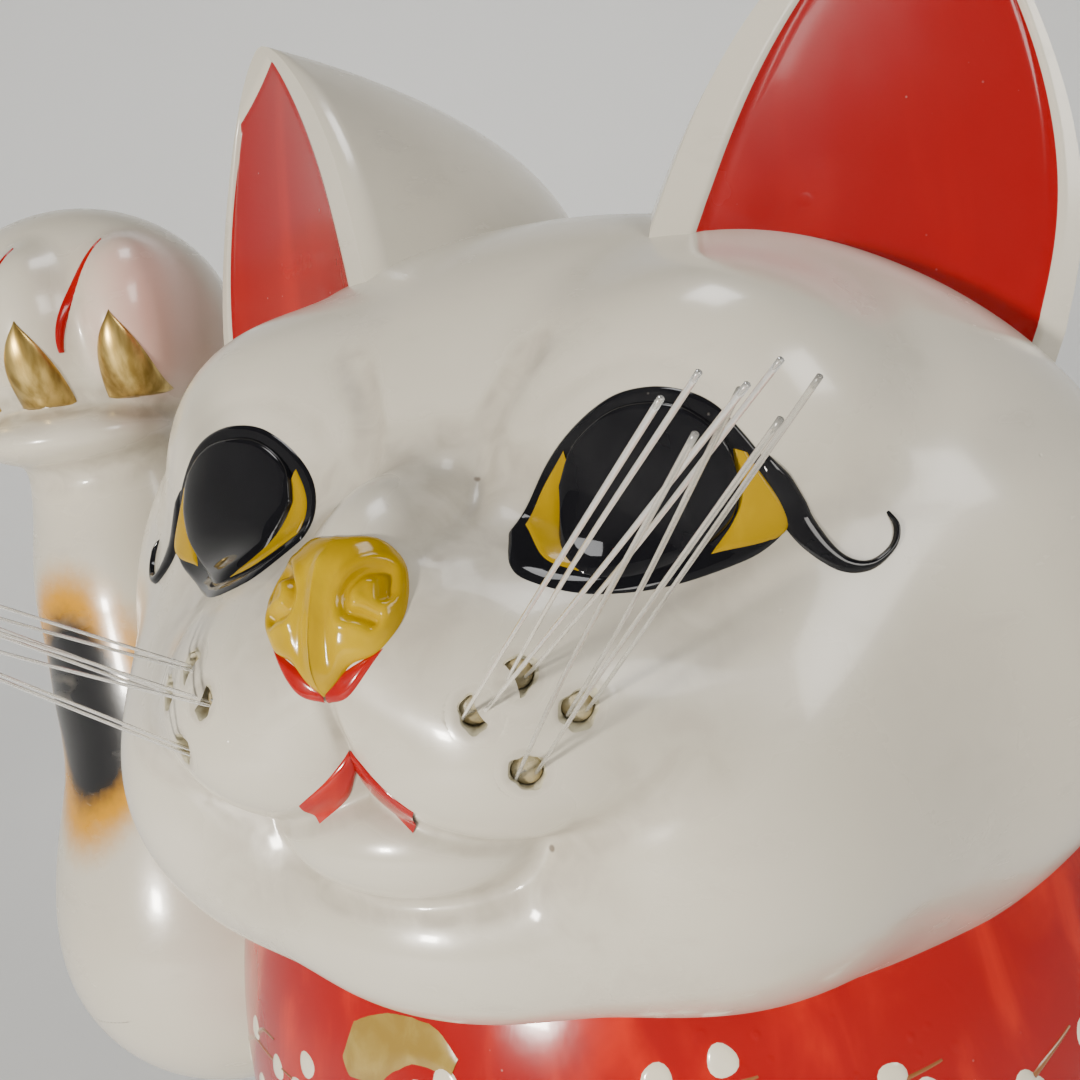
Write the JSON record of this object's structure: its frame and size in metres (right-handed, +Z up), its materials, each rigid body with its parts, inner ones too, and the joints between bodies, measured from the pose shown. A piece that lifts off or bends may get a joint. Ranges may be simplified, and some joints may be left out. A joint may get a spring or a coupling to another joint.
{
  "type": "beckoning cat figurine",
  "caption": "Large seated glazed ceramic cat with one foreleg raised beside its head, a wide red collar, nylon whiskers, a coin slot in its back and a rubber stopper in its base.",
  "frame": {"origin": "on the ground, on the underside of the base plate under the middle of the body", "axes": "+Z up, the cat faces -Y and its own left side is +X, the raised foreleg is on -X"},
  "size_m": [0.3915, 0.3556, 0.5016],
  "materials": {
    "glaze": "warm off-white gloss glaze with fine dark specks",
    "red_enamel": "brushed glossy red overglaze enamel",
    "black_enamel": "thick glossy black enamel",
    "yellow_enamel": "glossy yellow enamel",
    "gold_paint": "brushed metallic gold paint",
    "bisque": "unglazed fired clay",
    "nylon": "clear glossy nylon filament",
    "glue": "yellowed clear glue",
    "stopper_rubber": "matt black rubber"
  },
  "bodies": {
    "root": {"body_casting": "glaze", "base_plate": "bisque", "head_casting": "glaze", "left_ear": "glaze", "right_ear": "glaze", "collar_band": "red_enamel", "raised_foreleg": "glaze", "standing_foreleg": "glaze", "left_hind_paw": "glaze", "right_hind_paw": "glaze", "tail": "glaze", "whisker_left_1": "nylon", "whisker_left_2": "nylon", "whisker_left_3": "nylon", "whisker_left_4": "nylon", "whisker_right_1": "nylon", "whisker_right_2": "nylon", "whisker_right_3": "nylon", "whisker_right_4": "nylon", "glue_left_1": "glue", "glue_left_2": "glue", "glue_left_3": "glue", "glue_left_4": "glue", "glue_right_1": "glue", "glue_right_2": "glue", "glue_right_3": "glue", "glue_right_4": "glue"},
    "stopper": {"base_stopper": "stopper_rubber"}
  },
  "joints": [
    {"name": "stopper_pull", "type": "slide", "parent": "root", "child": "stopper", "axis": [0, 0, -1], "range_m": [0, 0.04]}
  ]
}
